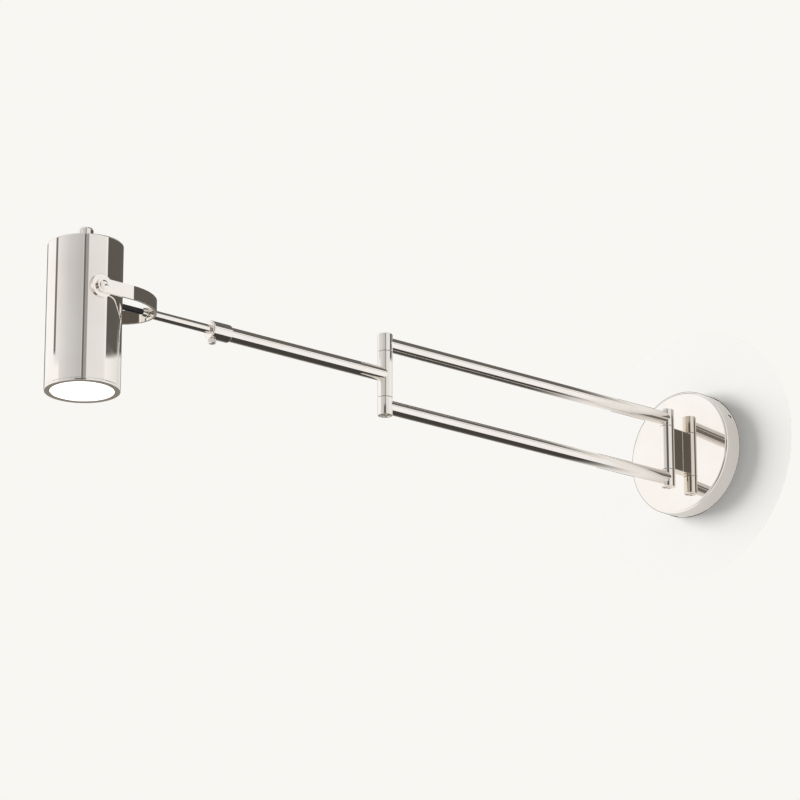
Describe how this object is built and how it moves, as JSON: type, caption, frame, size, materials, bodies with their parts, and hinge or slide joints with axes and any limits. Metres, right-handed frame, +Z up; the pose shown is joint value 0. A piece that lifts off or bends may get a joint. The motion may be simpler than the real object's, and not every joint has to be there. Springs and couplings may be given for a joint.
{
  "type": "swing arm wall sconce",
  "caption": "Wall sconce with a round canopy, double-tube swing arm, hinged outer arm with sliding rod, and a cylindrical tilting spot head in a bent yoke.",
  "frame": {"origin": "centre of the mounting plate's back face, in the plane of the wall", "axes": "+Y into the wall, +Z up, +X to the right seen from the room; the arm reaches out along -Y, turned 6 degrees towards -X"},
  "size_m": [0.1793, 0.793, 0.1554],
  "materials": {
    "polished_nickel": "polished nickel plate",
    "zinc_steel": "zinc plated",
    "green_steel": "green passivated",
    "brass": "turned",
    "nylon": "natural nylon",
    "black_cable": "black PVC sheath",
    "black_rubber": "moulded",
    "opal_acrylic": "opal, satin face",
    "white_reflector": "moulded white",
    "led_phosphor": "phosphor",
    "white_board": "white solder mask",
    "aluminium": "cast",
    "white_housing": "moulded",
    "blue_housing": "moulded"
  },
  "bodies": {
    "canopy": {"mounting_plate": "zinc_steel", "ground_screw": "green_steel", "canopy": "polished_nickel", "canopy_set_screws": "zinc_steel", "block_screws": "zinc_steel", "feed_bush": "nylon", "hinge_block": "polished_nickel", "supply_lead": "black_cable"},
    "inner_arm": {"wall_upper_knuckle": "polished_nickel", "wall_lower_knuckle": "polished_nickel", "wall_hinge_nipples": "brass", "wall_hinge_washers": "nylon", "wall_hinge_caps": "polished_nickel", "upper_arm_tube": "polished_nickel", "lower_arm_tube": "polished_nickel", "elbow_upper_knuckle": "polished_nickel", "elbow_lower_knuckle": "polished_nickel", "elbow_hinge_nipples": "brass", "elbow_hinge_washers": "nylon", "elbow_hinge_caps": "polished_nickel", "inner_arm_lead": "black_cable"},
    "outer_arm": {"elbow_knuckle": "polished_nickel", "outer_arm_tube": "polished_nickel", "collar": "polished_nickel", "outer_arm_lead": "black_cable", "lead_coil": "black_cable"},
    "thumb_screw": {"thumb_screw": "polished_nickel"},
    "rod": {"extension_rod": "polished_nickel", "rod_bush": "brass", "yoke_nut": "polished_nickel", "rod_lead": "black_cable"},
    "yoke": {"yoke": "polished_nickel", "head_cable": "black_cable"},
    "head": {"head_housing": "polished_nickel", "pivot_discs": "polished_nickel", "pivot_screws": "polished_nickel", "pivot_nuts": "zinc_steel", "cable_grommet": "black_rubber", "bezel_ring": "polished_nickel", "diffuser": "opal_acrylic", "reflector": "white_reflector", "led_chip": "led_phosphor", "led_board": "white_board", "heat_sink": "aluminium", "driver": "white_housing", "dimmer": "blue_housing", "dimmer_nut": "zinc_steel"},
    "knob": {"dimmer_shaft": "brass", "dimmer_knob": "polished_nickel"}
  },
  "joints": [
    {"name": "wall_swing", "type": "hinge", "parent": "canopy", "child": "inner_arm", "pos_m": [0, -0.0375, 0], "axis": [0, 0, 1], "range_deg": [-79, 91]},
    {"name": "elbow_swing", "type": "hinge", "parent": "inner_arm", "child": "outer_arm", "pos_m": [-0.03889, -0.40746, 0], "axis": [0, 0, -1], "range_deg": [-150, 150]},
    {"name": "thumb_screw_turn", "type": "hinge", "parent": "outer_arm", "child": "thumb_screw", "pos_m": [-0.06063, -0.61432, -0.0085], "axis": [0, 0, 1], "range_deg": [0, 360]},
    {"name": "rod_extend", "type": "slide", "parent": "outer_arm", "child": "rod", "axis": [-0.1045, -0.9945, 0], "range_m": [-0.06, 0.06], "deforming": ["lead_coil"]},
    {"name": "yoke_swivel", "type": "hinge", "parent": "rod", "child": "yoke", "pos_m": [-0.07578, -0.75853, 0], "axis": [-0.1045, -0.9945, 0], "range_deg": [-90, 90]},
    {"name": "head_tilt", "type": "hinge", "parent": "yoke", "child": "head", "pos_m": [-0.07636, -0.764, 0], "axis": [0.9945, -0.1045, 0], "range_deg": [-45, 45], "deforming": ["head_cable"]},
    {"name": "knob_turn", "type": "hinge", "parent": "head", "child": "knob", "pos_m": [-0.07578, -0.75853, 0.0494], "axis": [0, 0, 1], "range_deg": [0, 270]}
  ]
}
